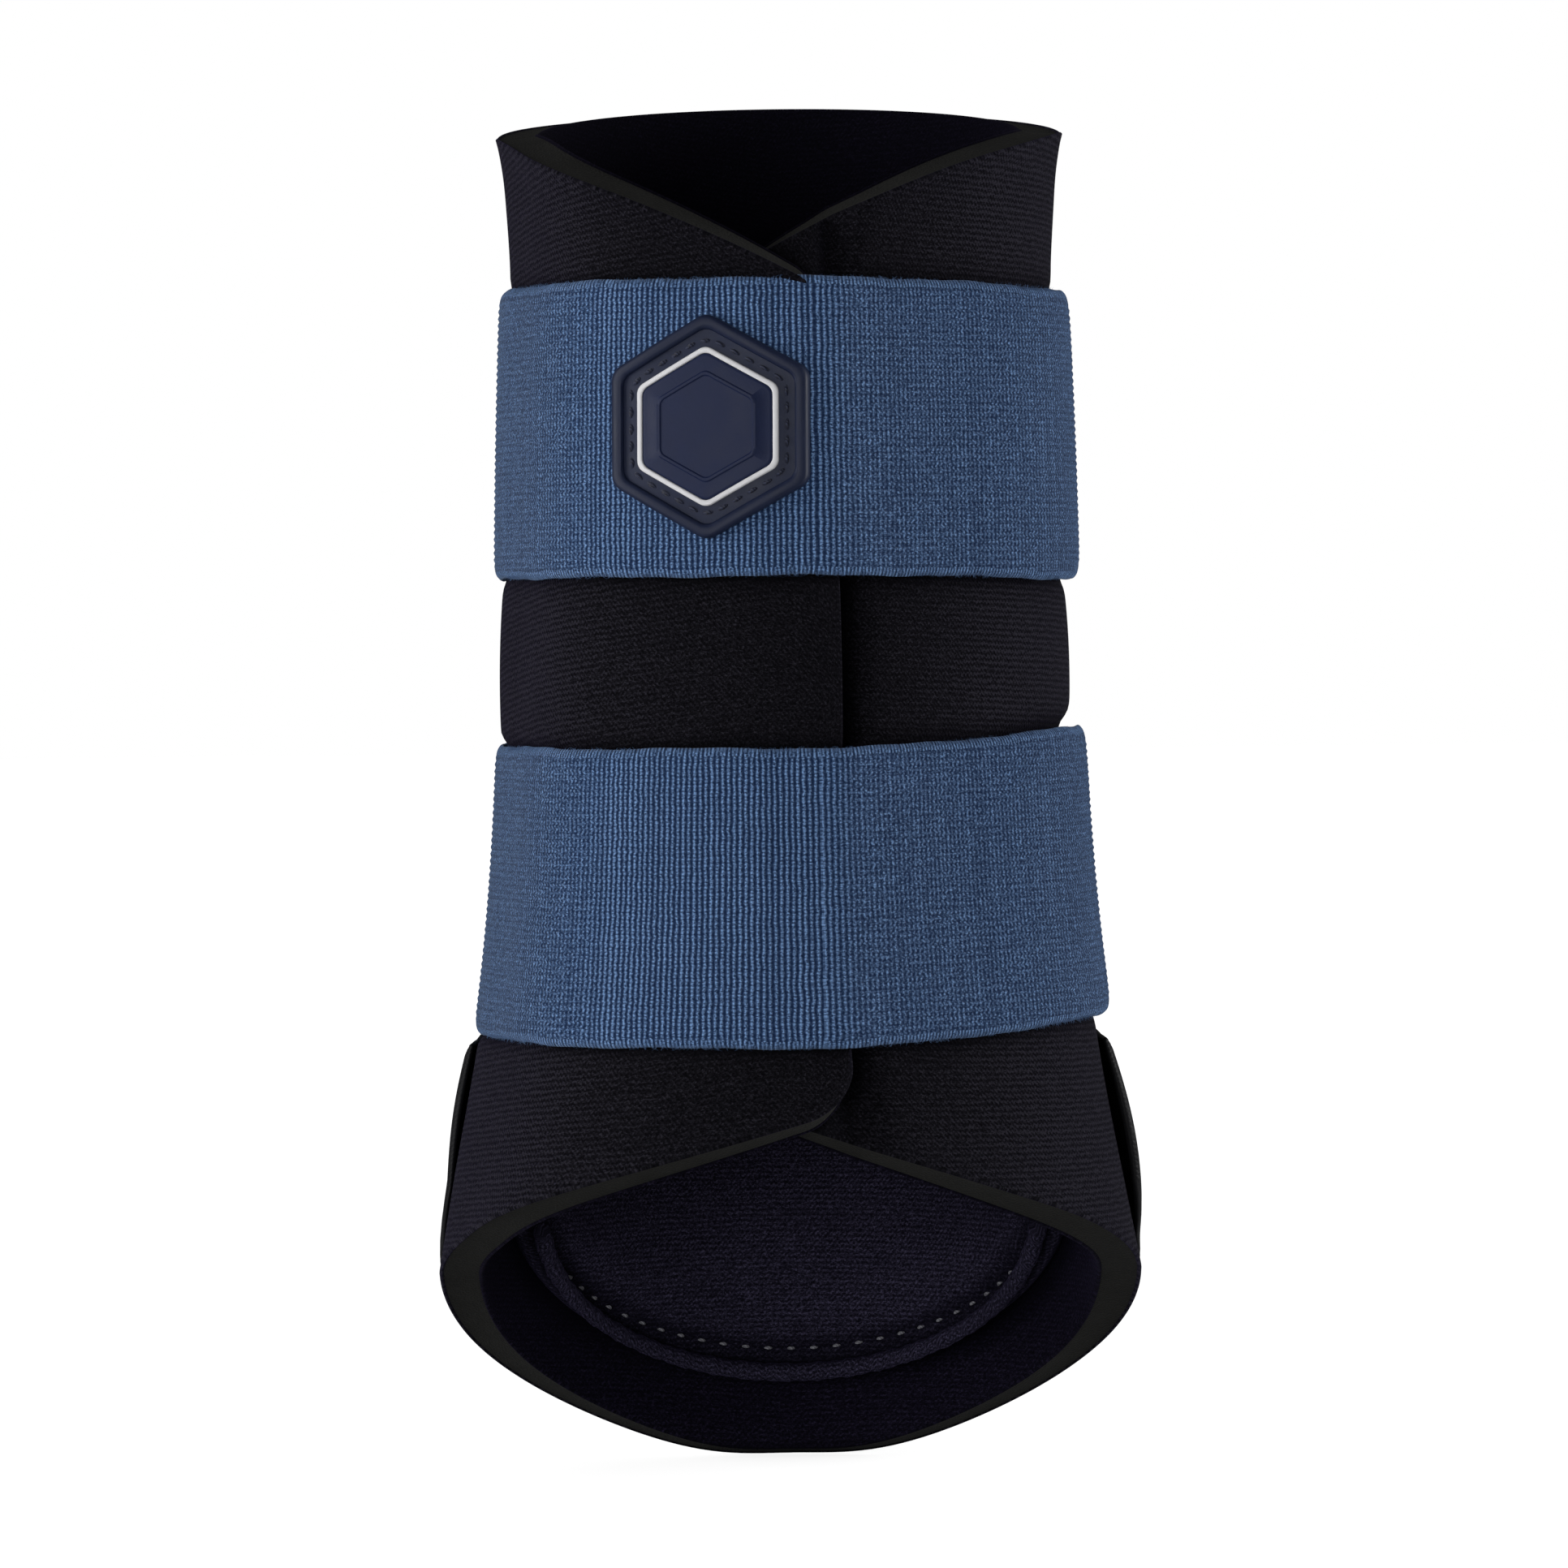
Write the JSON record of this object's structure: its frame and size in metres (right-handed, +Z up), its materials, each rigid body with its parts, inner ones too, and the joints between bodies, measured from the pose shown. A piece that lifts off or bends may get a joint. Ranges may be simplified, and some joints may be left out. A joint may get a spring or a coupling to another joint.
{
  "type": "tendon boot",
  "caption": "Neoprene tendon boot for a pony's lower leg: overlapping front panels, wide elastic wrap straps, moulded rear guard and a flared fetlock cup.",
  "frame": {"origin": "on the axis of the leg passage, at half the boot's height", "axes": "+Z up the leg, -Y to the front of the leg, +X to the side where the straps end"},
  "size_m": [0.1142, 0.1157, 0.224],
  "materials": {
    "jersey": "near-black knitted jersey laminated to foam, fine level rows",
    "foam": "cut neoprene foam, dark olive grey, dull",
    "lining": "smooth black knitted lining",
    "guard": "moulded black shell, satin",
    "webbing": "denim-blue ribbed elastic",
    "hook_and_loop": "black hook-and-loop tape",
    "badge": "moulded navy rubber, satin",
    "badge_line": "off-white moulded rubber line",
    "thread": "grey-black sewing thread",
    "blue_thread": "denim-blue sewing thread"
  },
  "bodies": {
    "boot_back": {"back_foam": "foam", "back_jersey": "jersey", "back_lining": "lining", "strike_guard": "guard", "guard_stitches": "thread", "tendon_pad_foam": "foam", "tendon_pad_cover": "lining", "tendon_pad_fold": "lining", "tendon_pad_stitches": "thread", "upper_strap_anchor": "webbing", "upper_anchor_stitches": "blue_thread", "lower_strap_anchor": "webbing", "lower_anchor_stitches": "blue_thread"},
    "left_panel": {"left_foam": "foam", "left_jersey": "jersey", "left_lining": "lining", "upper_strap_front": "webbing", "lower_strap_front": "webbing", "badge_base": "badge", "badge_field": "badge", "badge_outline": "badge_line", "badge_stitches": "thread"},
    "right_panel": {"right_foam": "foam", "right_jersey": "jersey", "right_lining": "lining", "upper_loop_patch": "hook_and_loop", "lower_loop_patch": "hook_and_loop"},
    "upper_strap_end": {"upper_strap_tail": "webbing", "upper_hook_patch": "hook_and_loop"},
    "lower_strap_end": {"lower_strap_tail": "webbing", "lower_hook_patch": "hook_and_loop"}
  },
  "joints": [
    {"name": "left_panel_fold", "type": "hinge", "parent": "boot_back", "child": "left_panel", "pos_m": [-0.0524, 0, 0], "axis": [-0.0602, 0, -0.9982], "range_deg": [0, 115]},
    {"name": "right_panel_fold", "type": "hinge", "parent": "boot_back", "child": "right_panel", "pos_m": [0.0524, 0, 0], "axis": [-0.0602, 0, 0.9982], "range_deg": [0, 41]},
    {"name": "upper_strap_peel", "type": "hinge", "parent": "left_panel", "child": "upper_strap_end", "pos_m": [0.00885, -0.0492, 0.0577], "axis": [0.0054, -0.0298, -0.9995], "range_deg": [0, 140]},
    {"name": "lower_strap_peel", "type": "hinge", "parent": "left_panel", "child": "lower_strap_end", "pos_m": [0.00948, -0.05266, -0.0146], "axis": [0.0157, -0.0872, -0.9961], "range_deg": [0, 140]}
  ],
  "couplings": [
    {"joint": "right_panel_fold", "follows": "left_panel_fold", "ratio": 0.35}
  ]
}
